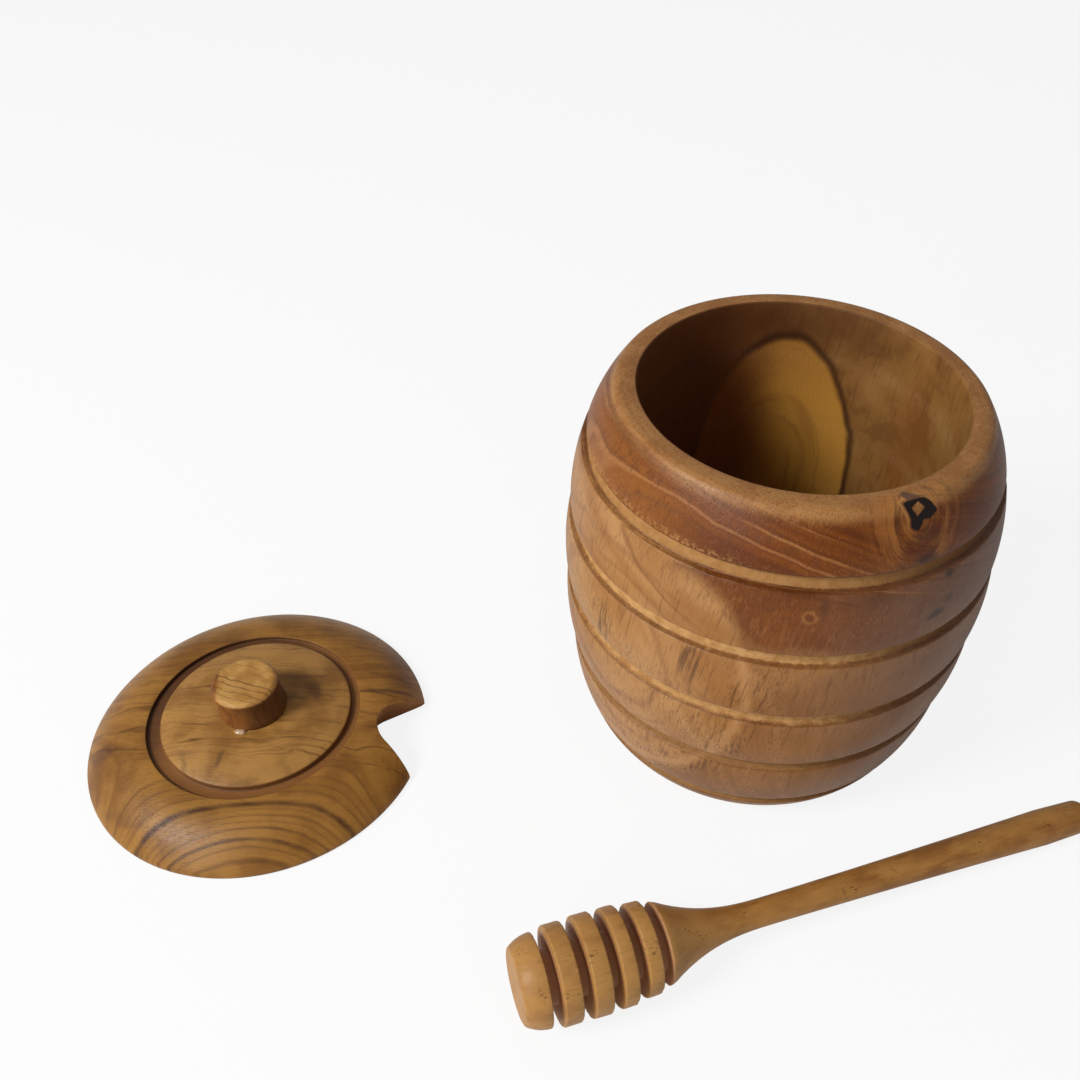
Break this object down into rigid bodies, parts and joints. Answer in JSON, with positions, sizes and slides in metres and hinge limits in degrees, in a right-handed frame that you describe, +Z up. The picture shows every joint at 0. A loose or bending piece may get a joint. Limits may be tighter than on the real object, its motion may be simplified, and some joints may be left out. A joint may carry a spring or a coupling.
{
  "type": "honey pot with loose lid and dipper",
  "caption": "Turned wooden honey pot, barrel-shaped with grooves round it, a loose domed lid with a notch and knob, and a grooved honey dipper, laid out beside it.",
  "frame": {"origin": "centre of the pot's foot, on the table that all the pieces rest on", "axes": "+Z up along the pot's axis; +X towards the right of the picture, away from the lid; +Y away from the viewer, so the dipper lies on the -Y side"},
  "size_m": [0.2567, 0.1549, 0.1003],
  "materials": {
    "pot_teak": "satin lacquer",
    "lid_teak": "satin lacquer",
    "knob_teak": "satin lacquer",
    "dipper_wood": "satin lacquer"
  },
  "bodies": {
    "pot": {"pot": "pot_teak"},
    "lid": {"lid": "lid_teak", "lid_knob": "knob_teak"},
    "dipper": {"honey_dipper": "dipper_wood"}
  },
  "joints": [
    {"name": "lid_lift", "type": "slide", "parent": "pot", "child": "lid", "axis": [0, 0, 1], "range_m": [0, 0.13]},
    {"name": "dipper_lift", "type": "slide", "parent": "pot", "child": "dipper", "axis": [0, 0, 1], "range_m": [0, 0.13]}
  ]
}
